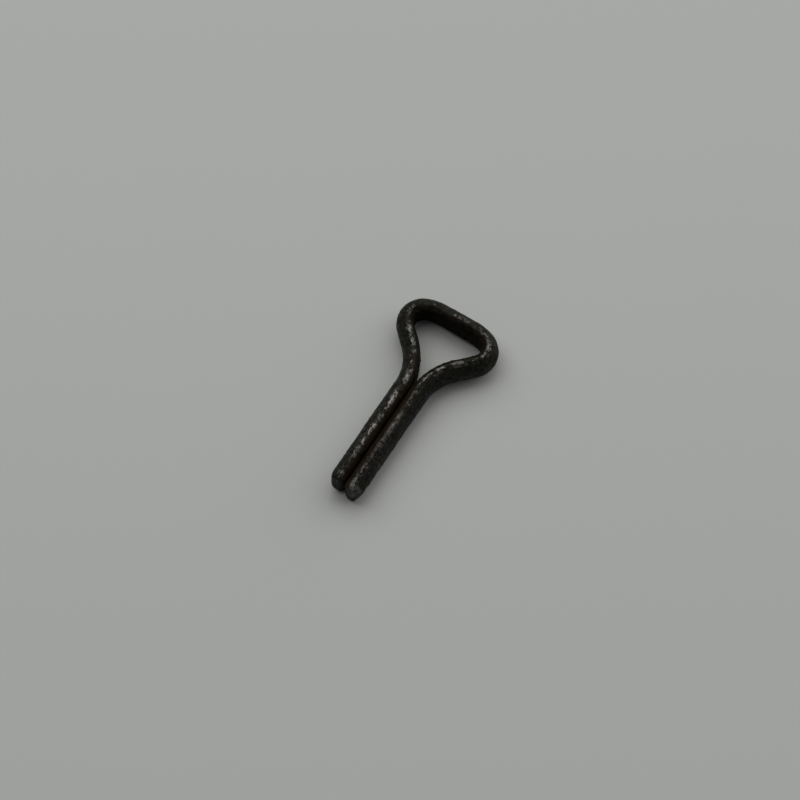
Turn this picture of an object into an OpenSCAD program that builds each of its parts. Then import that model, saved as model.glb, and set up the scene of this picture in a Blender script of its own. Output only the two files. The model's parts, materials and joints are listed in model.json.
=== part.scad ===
// Split pin (cotter pin) with a flat-topped triangular eye.
// One length of half-round steel wire is bent double: the two flats face each
// other across a narrow slit and make one round shank, and the bend stands out
// as the eye. Millimetres, +Z up. The pin lies on its side on z = 0, legs
// towards -Y and eye towards +Y.

/* [Wire] */
// Diameter of the round shank that the two legs make together
shank_d = 3.0; // [2.6:0.1:5]
// Width of the slit between the two flats
slit = 0.13; // [0.06:0.01:0.3]
// Rounding of the two long edges of the flat
edge_r = 0.44; // [0.2:0.01:0.5]

/* [Legs] */
// Straight length of the longer leg, from the start of the neck to its point
leg_long = 10.25; // [6:0.05:40]
// How much shorter the other leg is
leg_step = 0.2; // [0:0.05:1.5]
// Length of the bevel on the outside of each point, along the leg
bevel_l = 0.75; // [0.2:0.05:1.5]
// Depth of the bevel on the outside of each point, across the leg
bevel_d = 0.5; // [0.2:0.05:0.6]
// Length of the lead on the slit side of each point, which takes a spreading tool
lead_l = 0.25; // [0.1:0.05:0.8]
// Depth of the lead on the slit side of each point, across the leg
lead_d = 0.45; // [0.2:0.05:0.5]

/* [Eye] */
// Outside width of the eye
eye_w = 9.1; // [8:0.05:16]
// Angle each arm of the eye leans out from the middle line
arm_angle = 45.5; // [36:0.5:50]
// How far the whole eye leans to the left of the legs, in degrees
eye_lean = 0.4; // [0:0.1:4]
// Bend radius of the flat where a leg turns out into the eye
neck_r = 5.6; // [3:0.05:7]
// Bend radius of the flat inside each corner of the eye
corner_r = 0.8; // [0.5:0.05:1.4]
// Bend radius of the flat between a corner and the straight top bar
crown_r = 3.55; // [2:0.05:6]
// How much of each corner's turn is taken up by that wider bend, in degrees
crown_angle = 20.5; // [10:0.5:28]

/* [Hidden] */
$fn = 96;
// Angle at which the edge rounding meets the flat and the round back
meet_angle = 14;
// Every second piece of the wire is thinner by this all round, a step too small
// to see, and runs on by this far inside its two neighbours to join them
inset = 0.01;
lap = 0.05;
// Each leg is made this much too long, and its point is then cut to length
spare = 1;

shank_r = shank_d / 2;
wire_t = shank_r - slit / 2;

// Centre of the edge rounding, measured from the middle of the flat
edge_x = edge_r * cos(meet_angle);
edge_z = sqrt(pow(shank_r - edge_x, 2) - pow(edge_x + slit / 2, 2));
edge_dir = atan2(edge_z, edge_x + slit / 2);
wire_h = 2 * (edge_z + edge_r);

// Bend angles
corner_angle = 90 + arm_angle - crown_angle;
left_neck = arm_angle + eye_lean;
right_neck = arm_angle - eye_lean;

// Middle of a corner's bend from the eye's own middle line, half the distance
// between the outer ends of the arms, and the straight part of the top bar
corner_x = eye_w / 2 - (wire_t - inset) - corner_r;
arm_end_x = corner_x + corner_r * cos(arm_angle);
top_bar = 2 * (corner_x - (crown_r - corner_r) * sin(crown_angle));

// Step from the end of the left neck bend to the end of the right one, seen
// along the eye's own middle line; it fixes the two arm lengths
gap_x = slit + neck_r * (2 - cos(left_neck) - cos(right_neck));
gap_y = neck_r * (sin(right_neck) - sin(left_neck));
step_x = gap_x * cos(eye_lean) + gap_y * sin(eye_lean);
step_y = gap_y * cos(eye_lean) - gap_x * sin(eye_lean);
arm_sum = (2 * arm_end_x - step_x) / sin(arm_angle);
arm_diff = step_y / cos(arm_angle);
left_arm = (arm_sum + arm_diff) / 2;
right_arm = (arm_sum - arm_diff) / 2;

// The wire from the point of the left leg to the point of the right one, each
// step a kind, a length or an angle, and a bend radius
LINE = 0;
LEFT = 1;
RIGHT = 2;
wire_path = [
    [LINE, leg_long + spare, 0],
    [LEFT, left_neck, neck_r],
    [LINE, left_arm, 0],
    [RIGHT, corner_angle, corner_r],
    [RIGHT, crown_angle, crown_r],
    [LINE, top_bar, 0],
    [RIGHT, crown_angle, crown_r],
    [RIGHT, corner_angle, corner_r],
    [LINE, right_arm, 0],
    [LEFT, right_neck, neck_r],
    [LINE, leg_long + spare, 0]
];

// Angle that a length takes up on a bend
function degrees_of(length, radius) = length / radius * 180 / PI;

// Plan position of the middle of a corner's bend: side -1 left, 1 right
function neck_end(side, turn) =
    [side * (slit / 2 + neck_r * (1 - cos(turn))), neck_r * sin(turn)];
function along(from, distance, heading) =
    [from[0] + distance * sin(heading), from[1] + distance * cos(heading)];
function corner_centre(side, turn, arm) =
    let (arm_end = along(neck_end(side, turn), arm, side * turn))
    along(arm_end, corner_r, side * (turn - 90));
left_centre = corner_centre(-1, left_neck, left_arm);
right_centre = corner_centre(1, right_neck, right_arm);

// With the eye leaning left its outline is highest on the right crown bend
crown_y = right_centre[1] - (crown_r - corner_r) * cos(crown_angle + eye_lean);
top_y = crown_y + crown_r + wire_t;
left_x = left_centre[0] - corner_r - wire_t + inset;
right_x = right_centre[0] + corner_r + wire_t - inset;

// Section of the wire, thinner by less all round: the flat on x = 0, the round
// back towards -x
module wire_section(less) {
    mirror([1, 0]) difference() {
        intersection() {
            translate([-slit / 2, 0]) rotate(180) circle(r = shank_r - less);
            translate([less, -shank_d]) square(2 * shank_d);
        }
        edge_waste(less);
        mirror([0, 1]) edge_waste(less);
    }
}

// What the rounding takes off one long edge of the flat
module edge_waste(less) {
    difference() {
        polygon([
            [edge_x, edge_z],
            [edge_x + 2 * shank_d * cos(edge_dir), edge_z + 2 * shank_d * sin(edge_dir)],
            [-shank_d, edge_z + 2 * shank_d],
            [-shank_d, edge_z]
        ]);
        translate([edge_x, edge_z]) circle(r = edge_r - less);
    }
}

// Every piece starts at the origin and runs towards +Y with the flat on x = 0,
// thinner by less and longer by more at both ends
module straight(length, less, more) {
    translate([0, length + more, 0]) rotate([90, 0, 0])
        linear_extrude(height = length + 2 * more) wire_section(less);
}

module left_ring(angle, radius, less, more) {
    translate([-radius, 0, 0])
        rotate_extrude(start = -degrees_of(more, radius),
                       angle = angle + 2 * degrees_of(more, radius))
            translate([radius, 0]) wire_section(less);
}

module right_ring(angle, radius, less, more) {
    translate([radius, 0, 0])
        rotate_extrude(start = 180 - angle - degrees_of(more, radius),
                       angle = angle + 2 * degrees_of(more, radius))
            translate([radius, 0]) mirror([1, 0]) wire_section(less);
}

module piece(s, less, more) {
    if (s[0] == LINE) straight(s[1], less, more);
    if (s[0] == LEFT) left_ring(s[1], s[2], less, more);
    if (s[0] == RIGHT) right_ring(s[1], s[2], less, more);
}

// Moves to the end of one step of the path
module step_on(s) {
    if (s[0] == LINE)
        translate([0, s[1], 0]) children();
    if (s[0] == LEFT)
        translate([-s[2], 0, 0]) rotate(s[1]) translate([s[2], 0, 0]) children();
    if (s[0] == RIGHT)
        translate([s[2], 0, 0]) rotate(-s[1]) translate([-s[2], 0, 0]) children();
}

module wire(i = 0) {
    if (i < len(wire_path)) {
        s = wire_path[i];
        if (i % 2 == 0)
            piece(s, 0, 0);
        else
            piece(s, inset, lap);
        step_on(s) wire(i + 1);
    }
}

// What is cut off the end of the leg on the +X side, length from the neck: the
// leg is left with a lead on its slit side and a bevel on its outside
module point_waste(length) {
    lead_slope = lead_l / lead_d;
    past = length + 2 * spare;
    linear_extrude(height = 2 * shank_d, center = true) polygon([
        [0, lead_l + lead_slope * slit / 2 - length],
        [slit / 2 + lead_d, -length],
        [shank_r - bevel_d, -length],
        [shank_r + bevel_d, 2 * bevel_l - length],
        [shank_r + bevel_d, -past],
        [0, -past]
    ]);
}

module cotter_pin() {
    color([0.16, 0.16, 0.15])
        translate([-(left_x + right_x) / 2, -(top_y - leg_long) / 2, wire_h / 2])
            difference() {
                translate([-slit / 2, -leg_long - spare, 0]) wire();
                point_waste(leg_long);
                mirror([1, 0, 0]) point_waste(leg_long - leg_step);
            }
}

cotter_pin();
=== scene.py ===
"""Looks of a split pin (cotter pin) lying on its side on a pale surface.

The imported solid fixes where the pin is. The shown piece is one swept mesh: the
same half-round wire, bent along the same route, with the dents, rubbed ridges
and blunted points of a used pin. The pin's lengths and the camera's distance are
millimetres until they reach Blender.
"""

import json
import math
from types import SimpleNamespace

import bpy
import numpy as np
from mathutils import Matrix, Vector, noise


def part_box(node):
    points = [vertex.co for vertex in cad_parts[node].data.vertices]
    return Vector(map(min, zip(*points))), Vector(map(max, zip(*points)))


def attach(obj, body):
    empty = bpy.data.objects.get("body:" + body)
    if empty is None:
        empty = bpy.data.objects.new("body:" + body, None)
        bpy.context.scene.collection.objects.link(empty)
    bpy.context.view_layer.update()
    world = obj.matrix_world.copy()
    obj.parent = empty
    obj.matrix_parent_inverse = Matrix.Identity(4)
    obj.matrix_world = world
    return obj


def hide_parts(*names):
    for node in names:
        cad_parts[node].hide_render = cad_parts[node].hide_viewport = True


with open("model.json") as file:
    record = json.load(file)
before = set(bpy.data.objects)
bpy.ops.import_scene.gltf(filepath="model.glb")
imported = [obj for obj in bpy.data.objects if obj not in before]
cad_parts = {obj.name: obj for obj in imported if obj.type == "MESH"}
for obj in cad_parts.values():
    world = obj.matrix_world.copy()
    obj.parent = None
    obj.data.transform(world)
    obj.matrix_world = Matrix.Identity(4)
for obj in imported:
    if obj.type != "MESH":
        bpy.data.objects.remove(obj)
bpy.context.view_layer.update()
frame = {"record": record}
MM = 0.001
NODE = "cotter_pin"
PIECE = "split_pin_wire"

# ---------------------------------------------------------------- the wire
# A place on the wire is run, the distance along it from the short leg's point,
# across, the distance from its flat, and up, the height above its middle.
SHANK_R = 1.5          # radius of the round shank that both legs make
SLIT = 0.13            # gap between the two flats
EDGE_ACROSS = 0.54     # from the flat to the highest line of the wire
EDGE_DOWN = 0.70       # from that line down to the start of the flat
HALF_HIGH = 1.335      # half the height of the wire

# ---------------------------------------------------------------- the legs
LEG_LONG = 10.25       # straight part of the longer leg
LEG_STEP = 0.2         # how much shorter the other leg is
BEVEL_L, BEVEL_D = 0.75, 0.50    # bevel on the outside of a point: length, depth
SHORT_BEVEL_D = 0.34   # the same depth on the shorter leg, which is more worn
LEAD_L, LEAD_D = 0.25, 0.45      # lead on the slit side of a point
CROP_L, CROP_D = 0.35, 0.20      # how a point is drawn in from above and below
END_R = 0.10           # rounding of the rim of a leg's end face

# ----------------------------------------------------------------- the eye
EYE_W = 9.1                          # outside width
ARM_ANGLE = math.radians(45.5)       # how far each arm leans out
EYE_LEAN = math.radians(0.4)         # how far the whole eye leans to the left
NECK_R = 5.6           # bend radius of the flat where a leg turns out into the eye
CORNER_R = 0.8         # the same inside each corner
CROWN_R = 3.55         # the same between a corner and the top bar
CROWN_ANGLE = math.radians(20.5)     # share of a corner's turn that this bend takes

# --------------------------------------------------------------- the camera
# It looks down on the pin from the side of its points
LOOK_FROM_NECK = (-0.647, -0.569)    # spot on the floor, from the start of the neck
CAMERA_TURN = math.radians(32.3)
CAMERA_RISE = math.radians(66.3)
CAMERA_FAR = 206.4
FOCAL = 113.5
SENSOR = 36.0

# ---------------------------------------------------------------- the mesh
RING_STEP = 0.065      # spacing of the rings at the outside of the wire
FLAT_SEGMENTS = 20
EDGE_SEGMENTS = 15
SHOULDER_SEGMENTS = 6
BACK_SEGMENTS = 36
RIM_RINGS = 4          # rings round the rim of a leg's end face
FACE_RINGS = 12        # steps from the rim to the middle of the face

WIRE_T = SHANK_R - SLIT / 2
FLAT_Z = HALF_HIGH - EDGE_DOWN

# Shoulder between the highest line and the round back, an arc tangent to both
AXIS_TO_RIDGE = EDGE_ACROSS + SLIT / 2
SHOULDER_R = ((SHANK_R ** 2 - HALF_HIGH ** 2 - AXIS_TO_RIDGE ** 2)
              / (2 * (SHANK_R - HALF_HIGH)))
SHOULDER_DIR = math.atan2(HALF_HIGH - SHOULDER_R, AXIS_TO_RIDGE)


def wire_path():
    """Steps of the wire from the short leg's point to the long leg's point: name,
    kind, length or angle, and bend radius of the flat."""
    left_neck, right_neck = ARM_ANGLE + EYE_LEAN, ARM_ANGLE - EYE_LEAN
    corner_x = EYE_W / 2 - WIRE_T - CORNER_R
    arm_end_x = corner_x + CORNER_R * math.cos(ARM_ANGLE)
    gap_x = SLIT + NECK_R * (2 - math.cos(left_neck) - math.cos(right_neck))
    gap_y = NECK_R * (math.sin(right_neck) - math.sin(left_neck))
    step_x = gap_x * math.cos(EYE_LEAN) + gap_y * math.sin(EYE_LEAN)
    step_y = gap_y * math.cos(EYE_LEAN) - gap_x * math.sin(EYE_LEAN)
    arms = (2 * arm_end_x - step_x) / math.sin(ARM_ANGLE)
    skew = step_y / math.cos(ARM_ANGLE)
    top_bar = 2 * (corner_x - (CROWN_R - CORNER_R) * math.sin(CROWN_ANGLE))
    corner_angle = math.pi / 2 + ARM_ANGLE - CROWN_ANGLE
    return [
        ("short_leg", "line", LEG_LONG - LEG_STEP, 0),
        ("left_neck", "left", left_neck, NECK_R),
        ("left_arm", "line", (arms + skew) / 2, 0),
        ("left_corner", "right", corner_angle, CORNER_R),
        ("left_crown", "right", CROWN_ANGLE, CROWN_R),
        ("top_bar", "line", top_bar, 0),
        ("right_crown", "right", CROWN_ANGLE, CROWN_R),
        ("right_corner", "right", corner_angle, CORNER_R),
        ("right_arm", "line", (arms - skew) / 2, 0),
        ("right_neck", "left", right_neck, NECK_R),
        ("long_leg", "line", LEG_LONG, 0),
    ]


def run_length(kind, size, radius):
    """Length of one step along the middle of the wire."""
    if kind == "line":
        return size
    side = -1 if kind == "left" else 1
    return size * (radius + side * WIRE_T / 2)


def run_starts():
    """Distance run at the start of each step of the wire, and at the wire's end."""
    starts, run = {}, 0.0
    for name, *step in wire_path():
        starts[name] = run
        run += run_length(*step)
    starts["end"] = run
    return SimpleNamespace(**starts)


def stations(start):
    """Rows of x, y, heading and run, along the middle of the flat. Heading 0 is +Y
    and grows towards +X, and the round back is on the left hand."""
    x, y, heading, run = *start, 0.0, 0.0
    rows = [(x, y, heading, run)]
    for _, kind, size, radius in wire_path():
        length = run_length(kind, size, radius)
        if kind == "line":
            count = max(1, round(size / RING_STEP))
            for i in range(1, count + 1):
                d = size * i / count
                rows.append((x + d * math.sin(heading), y + d * math.cos(heading),
                             heading, run + d))
        else:
            side = -1 if kind == "left" else 1
            outer = radius if kind == "left" else radius + WIRE_T
            count = max(1, round(size * outer / RING_STEP))
            cx = x + side * radius * math.cos(heading)
            cy = y - side * radius * math.sin(heading)
            for i in range(1, count + 1):
                h = heading + side * size * i / count
                rows.append((cx - side * radius * math.cos(h),
                             cy + side * radius * math.sin(h),
                             h, run + length * i / count))
        run += length
        x, y, heading = rows[-1][:3]
    return np.array(rows)


def section():
    """Outline of the wire in across and up, once round from the foot of the flat."""
    top = math.pi / 2
    parts = [np.column_stack([np.zeros(FLAT_SEGMENTS),
                              np.linspace(-FLAT_Z, FLAT_Z, FLAT_SEGMENTS, endpoint=False)])]
    shoulder_z = HALF_HIGH - SHOULDER_R
    for centre, across, high, a0, a1, count in (
            ((EDGE_ACROSS, FLAT_Z), EDGE_ACROSS, EDGE_DOWN, math.pi, top, EDGE_SEGMENTS),
            ((EDGE_ACROSS, shoulder_z), SHOULDER_R, SHOULDER_R, top, SHOULDER_DIR,
             SHOULDER_SEGMENTS),
            ((-SLIT / 2, 0), SHANK_R, SHANK_R, SHOULDER_DIR, -SHOULDER_DIR, BACK_SEGMENTS),
            ((EDGE_ACROSS, -shoulder_z), SHOULDER_R, SHOULDER_R, -SHOULDER_DIR, -top,
             SHOULDER_SEGMENTS),
            ((EDGE_ACROSS, -FLAT_Z), EDGE_ACROSS, EDGE_DOWN, -top, -math.pi, EDGE_SEGMENTS)):
        a = np.linspace(a0, a1, count, endpoint=False)
        parts.append(np.column_stack([centre[0] + across * np.cos(a),
                                      centre[1] + high * np.sin(a)]))
    return np.vstack(parts)


def soft_limit(value, limit, blend=0.10, leak=0.06):
    """The smaller of the two, with a rounded change from one to the other; a little
    of what is over the limit is kept, so that no two points fall together."""
    gap = np.clip(0.5 + 0.5 * (limit - value) / blend, 0, 1)
    held = limit + (value - limit) * gap - blend * gap * (1 - gap)
    return held + leak * np.maximum(value - limit, 0)


def pointed(outline, from_end, bevel):
    """The outline this far from a leg's point, cut back from all four sides."""
    across, up = outline[:, 0], outline[:, 1]
    across = soft_limit(across, WIRE_T - bevel * (1 - from_end / BEVEL_L))
    across = -soft_limit(-across, -LEAD_D * (1 - from_end / LEAD_L))
    high = HALF_HIGH - CROP_D * (1 - from_end / CROP_L)
    up = np.sign(up) * soft_limit(np.abs(up), high)
    return np.column_stack([across, up])


def cap(outline, row, outward, bevel):
    """Rings over the rim and face of a leg's end, from the rim inwards: station,
    outline and how far past the station."""
    made = []
    for k in range(1, RIM_RINGS + 1):
        a = math.radians(90 * k / RIM_RINGS)
        from_end = END_R * (1 - math.sin(a))
        rim = pointed(outline, from_end, bevel)
        half = (rim.max(axis=0) - rim.min(axis=0)) / 2
        middle = rim.min(axis=0) + half
        drawn = middle + (rim - middle) * (1 - END_R * (1 - math.cos(a)) / half)
        made.append((row, drawn, -outward * from_end))
    for k in range(1, FACE_RINGS):
        made.append((row, middle + (drawn - middle) * (1 - k / FACE_RINGS), 0.0))
    return made


def wire_rings(start):
    """All rings in across and up, and the x, y, heading and run of each."""
    rows = stations(start)
    outline = section()
    end = rows[-1, 3]
    made = cap(outline, rows[0], -1, SHORT_BEVEL_D)[::-1]
    for row in rows:
        run = row[3]
        from_end = min(run, end - run)
        bevel = SHORT_BEVEL_D if run < end / 2 else BEVEL_D
        if from_end >= END_R:
            made.append((row, pointed(outline, from_end, bevel), 0.0))
    made += cap(outline, rows[-1], 1, BEVEL_D)

    rings, places = [], []
    for (x, y, heading, run), ring, beyond in made:
        rings.append(ring)
        places.append((x + beyond * math.sin(heading), y + beyond * math.cos(heading),
                       heading, run + beyond))
    return np.array(rings), np.array(places)


def tube_faces(count, around):
    """Faces of a closed tube, all turned outwards: count rings of points, then a
    point in the middle of the first ring and one in the middle of the last."""
    first, last = count * around, count * around + 1
    sides, ends = [], []
    for j in range(around):
        k = (j + 1) % around
        ends.append((first, j, k))
        ends.append((last, (count - 1) * around + k, (count - 1) * around + j))
    for i in range(0, (count - 1) * around, around):
        for j in range(around):
            k = (j + 1) % around
            sides.append((i + j, i + around + j, i + around + k, i + k))
    return sides + ends


def dent(point):
    """How far the surface is sunk at a point, in millimetres. Blisters stand out."""
    def lumps(size, pattern):
        return noise.noise(Vector(point) / size + Vector(pattern))

    waves = 0.020 * lumps(1.3, (0, 0, 0))
    dents = 0.020 * lumps(0.5, (7, 3, 1))
    nicks = 0.007 * lumps(0.24, (1, 9, 4))
    blisters = 0.10 * max(0.0, lumps(0.33, (5, 2, 8)) - 0.28)
    return waves + dents + nicks - blisters


def axis_x():
    """Where the shank's axis is, in metres."""
    return frame["record"]["mounts"][0]["pos_m"][0]


def make_pin():
    low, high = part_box(NODE)
    start = (axis_x() / MM - SLIT / 2, low.y / MM + LEG_STEP)
    middle_z = (low.z + high.z) / 2 / MM
    rings, places = wire_rings(start)
    across, up = rings[:, :, 0], rings[:, :, 1]
    x, y, heading, run = (places[:, i:i + 1] for i in range(4))
    points = np.stack([x - np.cos(heading) * across, y + np.sin(heading) * across,
                       up + middle_z], axis=-1)
    wire = np.stack([np.broadcast_to(run, across.shape), across, up], axis=-1)
    points, wire = (np.vstack([grid.reshape(-1, 3), grid[0].mean(axis=0),
                               grid[-1].mean(axis=0)]) for grid in (points, wire))

    mesh = bpy.data.meshes.new(PIECE)
    mesh.from_pydata(points.tolist(), [], tube_faces(*across.shape))
    normals = np.empty(points.size)
    mesh.vertices.foreach_get("normal", normals)
    sunk = np.array([dent(p) for p in points])
    points = (points - normals.reshape(-1, 3) * sunk[:, None]) * MM
    mesh.vertices.foreach_set("co", points.ravel())
    mesh.update()
    mesh.attributes.new("wire", "FLOAT_VECTOR", "POINT").data.foreach_set(
        "vector", wire.astype(np.float32).ravel())
    mesh.attributes.new("sunk", "FLOAT", "POINT").data.foreach_set(
        "value", sunk.astype(np.float32))
    mesh.polygons.foreach_set("use_smooth", [True] * len(mesh.polygons))
    made = bpy.data.objects.new(PIECE, mesh)
    bpy.context.scene.collection.objects.link(made)
    return made


# ------------------------------------------------------------ materials
def rgb(r, g, b):
    return (r, g, b, 1.0)


OXIDE_DARK = rgb(0.0030, 0.0030, 0.0020)
OXIDE_GREEN = rgb(0.0145, 0.0156, 0.0096)
OXIDE_GREY = rgb(0.0170, 0.0155, 0.0122)
RUST = rgb(0.0185, 0.0118, 0.0080)
# Paler tone painted on the upper side of the long leg's point
POINT_PALE_TONE = rgb(0.080, 0.081, 0.077)
STEEL = rgb(0.156, 0.152, 0.139)
PAPER = rgb(0.472, 0.482, 0.466)

# Glints are drawn out along the wire, and taken from this far along their pattern
GLINT_STRETCH = (0.55, 1.0, 1.0)
GLINT_PATTERN = (198.0, 0.0, 0.0)


class Maker:
    """Adds nodes to one node tree."""

    def __init__(self, tree):
        self.tree = tree

    def add(self, kind, inputs=(), **settings):
        made = self.tree.nodes.new(kind)
        for key, value in settings.items():
            setattr(made, key, value)
        for key, value in dict(inputs).items():
            self.put(made, key, value)
        return made

    def put(self, made, key, value):
        if isinstance(value, bpy.types.NodeSocket):
            self.tree.links.new(value, made.inputs[key])
        else:
            made.inputs[key].default_value = value

    def noise(self, place, scale, detail=3.0, rough=0.55):
        """Noise around 0.5, with scale lumps to the unit of place."""
        made = self.add("ShaderNodeTexNoise", {"Vector": place, "Scale": scale,
                        "Detail": detail, "Roughness": rough})
        return made.outputs["Fac"]

    def span(self, value, low, high, to_low=0.0, to_high=1.0):
        """Smooth change from to_low at low to to_high at high."""
        made = self.add("ShaderNodeMapRange", {"Value": value, "From Min": low,
                        "From Max": high, "To Min": to_low, "To Max": to_high},
                        interpolation_type="SMOOTHSTEP")
        return made.outputs["Result"]

    def math(self, operation, *values):
        return self.add("ShaderNodeMath", enumerate(values),
                        operation=operation).outputs[0]

    def times(self, first, *others):
        for factor in others:
            first = self.math("MULTIPLY", first, factor)
        return first

    def hump(self, value, rise, top, top_end, foot):
        """0 outside rise and foot, 1 from top to top_end."""
        return self.times(self.span(value, rise, top), self.span(value, foot, top_end))

    def blend(self, share, a, b):
        """Colour a, or b where share is 1. The node keeps its colours in 6, 7 and 2."""
        made = self.add("ShaderNodeMix", data_type="RGBA")
        self.put(made, "Factor", share)
        self.put(made, 6, a)
        self.put(made, 7, b)
        return made.outputs[2]

    def split(self, vector):
        return self.add("ShaderNodeSeparateXYZ", {0: vector}).outputs


def new_material(name):
    made = bpy.data.materials.new(name)
    made.use_nodes = True
    return made, Maker(made.node_tree), made.node_tree.nodes["Principled BSDF"]


def places_on_wire(m):
    """What the steel's nodes read: place in metres, and the rest in millimetres."""
    place = m.add("ShaderNodeTexCoord").outputs["Object"]
    wire = m.add("ShaderNodeAttribute", attribute_name="wire").outputs["Vector"]
    sunk = m.add("ShaderNodeAttribute", attribute_name="sunk").outputs["Fac"]
    run, across, up = m.split(wire)
    return SimpleNamespace(place=place, wire=wire, sunk=sunk, run=run, across=across,
                           up=up)


def oxide(m, at, clouds):
    """Black, mottled green and grey."""
    patches = m.span(m.noise(at.place, 480, 2.0), 0.40, 0.60)
    return m.blend(m.span(clouds, 0.30, 0.70), OXIDE_DARK,
                   m.blend(patches, OXIDE_GREEN, OXIDE_GREY))


def rusted(m, at, coat):
    """Brown rust over the flats and their edges, most of it in the slit."""
    ragged = m.math("SUBTRACT", at.across, m.times(m.noise(at.wire, 0.9, 3.0), 0.9))
    in_slit = m.span(m.split(at.place)["Y"], 3.5 * MM, 1.0 * MM, 0.45, 1.0)
    spots = m.span(m.noise(at.place, 900, 5.0, 0.65), 0.36, 0.60, 0.25, 1.0)
    return m.blend(m.times(m.span(ragged, 0.30, -0.10), in_slit, spots), coat, RUST)


def pale_point(m, at, coat, starts):
    """Paler on the upper side of the long leg's point."""
    point = m.span(at.run, starts.end - 0.80, starts.end - 0.40)
    upper_side = m.times(m.span(at.across, 0.40, 0.70), m.span(at.up, -0.55, 0.10))
    streaks = m.span(m.noise(at.place, 2400, 4.0, 0.65), 0.40, 0.60)
    return m.blend(m.times(point, upper_side, streaks), coat, POINT_PALE_TONE)


def rubbed(m, at, starts):
    """How much bare steel shows, and how metallic the surface is: along the ridges
    between the blisters."""
    on_leg = m.span(at.run, starts.long_leg - 0.75, starts.long_leg + 1.25)
    on_bar = m.hump(at.run, starts.left_corner, starts.left_crown,
                    starts.right_corner, starts.right_arm)

    # No bare steel shows beside the flat, and this band reaches further out on the top bar
    # and the long leg
    steel_free_reach = m.times(m.math("ADD", on_bar, on_leg), 0.18)
    away_from_flat = m.span(m.math("SUBTRACT", at.across, steel_free_reach), 0.20, 0.50)

    # The eye's left corner is little rubbed, and the long leg is rubbed evenly
    glints = m.add("ShaderNodeVectorMath", {0: at.wire, 1: GLINT_STRETCH, 2: GLINT_PATTERN},
                   operation="MULTIPLY_ADD").outputs[0]
    bare = m.math("ADD", m.times(at.sunk, 8.0), m.noise(glints, 7.0, 4.0, 0.62))
    spared = m.hump(at.run, starts.left_corner - 0.2, starts.left_corner + 0.8,
                    starts.top_bar, starts.right_crown)
    bare = m.math("SUBTRACT", bare, m.times(spared, 0.14))
    even = m.times(on_leg, m.span(at.run, starts.end - 1.5, starts.end - 3.0, 0.0, 0.45))
    bare = m.math("ADD", bare, m.times(even, m.math("SUBTRACT", 0.56, bare)))

    ridge = m.span(m.math("ABSOLUTE", at.up), 1.12, 1.29)
    return (m.times(ridge, away_from_flat, m.span(bare, 0.42, 0.72)),
            m.times(ridge, m.span(bare, 0.30, 0.46)))


def steel():
    """Blackened wire: mottled oxide, rust round the slit, and ridges where bare steel
    glints between blisters."""
    material, m, shader = new_material("blackened_steel")
    at = places_on_wire(m)
    starts = run_starts()
    clouds = m.noise(at.place, 3300, 5.0, 0.76)
    coat = pale_point(m, at, rusted(m, at, oxide(m, at, clouds)), starts)
    worn, metallic = rubbed(m, at, starts)
    roughness = m.math("SUBTRACT", m.span(clouds, 0.3, 0.7, 0.60, 0.44), m.times(worn, 0.18))
    shine = m.times(m.span(at.across, 0.0, 0.5, 0.1, 1.0),
                    m.span(clouds, 0.34, 0.68, 0.06, 0.16))
    grain = m.math("ADD", m.noise(at.place, 3200, 3.0, 0.6),
                   m.times(m.noise(at.place, 9500, 2.0, 0.6), 0.35))
    bump = m.add("ShaderNodeBump", {"Height": grain, "Strength": 1.0,
                 "Distance": 0.06 * MM})
    m.put(shader, "Base Color", m.blend(worn, coat, STEEL))
    m.put(shader, "Metallic", metallic)
    m.put(shader, "Roughness", roughness)
    m.put(shader, "Specular IOR Level", shine)
    m.put(shader, "Normal", bump.outputs["Normal"])
    return material


def paper():
    material, m, shader = new_material("pale_floor")
    m.put(shader, "Base Color", PAPER)
    m.put(shader, "Roughness", 0.9)
    m.put(shader, "Specular IOR Level", 0.2)
    return material


# ---------------------------------------------------------------- stage
def make_floor():
    bpy.ops.mesh.primitive_plane_add(size=1.6)
    floor = bpy.context.object
    floor.name = "pale_floor"
    floor.data.materials.append(paper())


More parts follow.
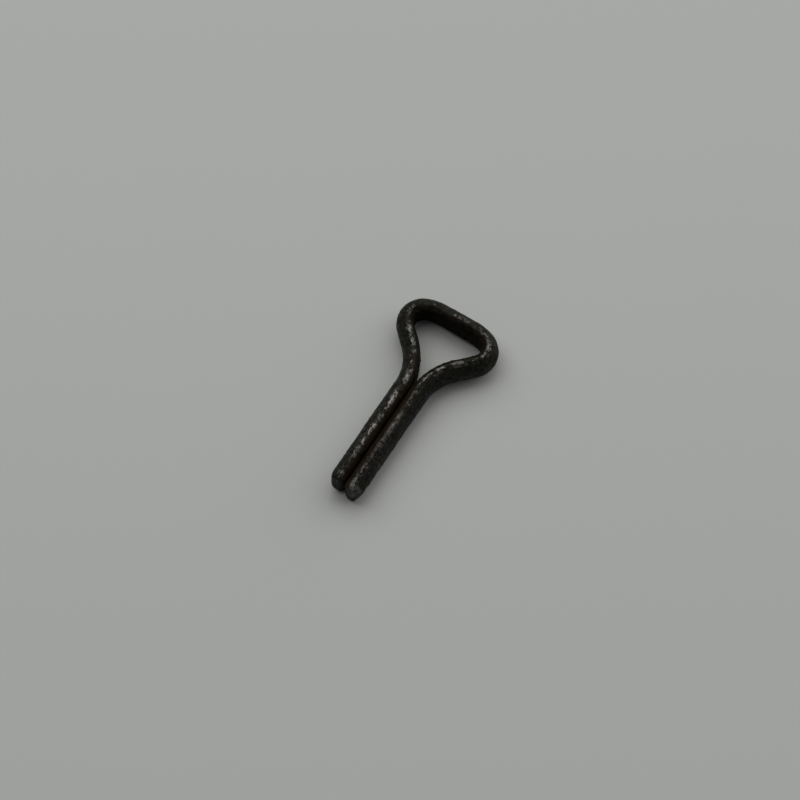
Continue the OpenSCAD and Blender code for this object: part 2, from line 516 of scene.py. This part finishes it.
def soft_lamp(name, azimuth, zenith, far, spread, radiance):
    """A round lamp aimed at the pin from far metres away; spread is its half-width
    seen from there, in degrees as the other angles are."""
    azimuth, zenith, spread = (math.radians(v) for v in (azimuth, zenith, spread))
    aim = Vector((math.sin(zenith) * math.cos(azimuth),
                  math.sin(zenith) * math.sin(azimuth), math.cos(zenith)))
    radius = far * math.tan(spread)
    data = bpy.data.lights.new(name, "AREA")
    data.shape = "DISK"
    data.size = 2 * radius
    data.energy = radiance * (math.pi * radius) ** 2
    lamp = bpy.data.objects.new(name, data)
    lamp.location = aim * far
    lamp.rotation_euler = aim.to_track_quat("Z", "Y").to_euler()
    bpy.context.scene.collection.objects.link(lamp)


def make_lights():
    """Two broad soft lamps behind the eye, high left and low right, and a dim room."""
    soft_lamp("high_left", azimuth=161, zenith=34, far=0.45, spread=30, radiance=1.9)
    soft_lamp("low_right", azimuth=70, zenith=49, far=0.50, spread=38, radiance=1.17)
    world = bpy.data.worlds.new("studio")
    bpy.context.scene.world = world
    world.use_nodes = True
    room = world.node_tree.nodes["Background"]
    room.inputs["Color"].default_value = rgb(1, 1, 1)
    room.inputs["Strength"].default_value = 0.08


def make_camera():
    low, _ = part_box(NODE)
    look_at = Vector((axis_x() + LOOK_FROM_NECK[0] * MM,
                      low.y + (LEG_LONG + LOOK_FROM_NECK[1]) * MM, 0))
    data = bpy.data.cameras.new("camera")
    data.lens = FOCAL
    data.sensor_width = SENSOR
    data.clip_start = 0.01
    data.clip_end = 5.0
    camera = bpy.data.objects.new("camera", data)
    back = Vector((math.sin(CAMERA_TURN) * math.cos(CAMERA_RISE),
                   -math.cos(CAMERA_TURN) * math.cos(CAMERA_RISE),
                   math.sin(CAMERA_RISE)))
    camera.location = look_at + back * CAMERA_FAR * MM
    camera.rotation_euler = (-back).to_track_quat("-Z", "Y").to_euler()
    bpy.context.scene.collection.objects.link(camera)
    bpy.context.scene.camera = camera


make_camera()
make_lights()
make_floor()
pin = make_pin()
pin.data.materials.append(steel())
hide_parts(NODE)
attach(pin, "root")
bpy.context.scene.view_settings.view_transform = "Standard"
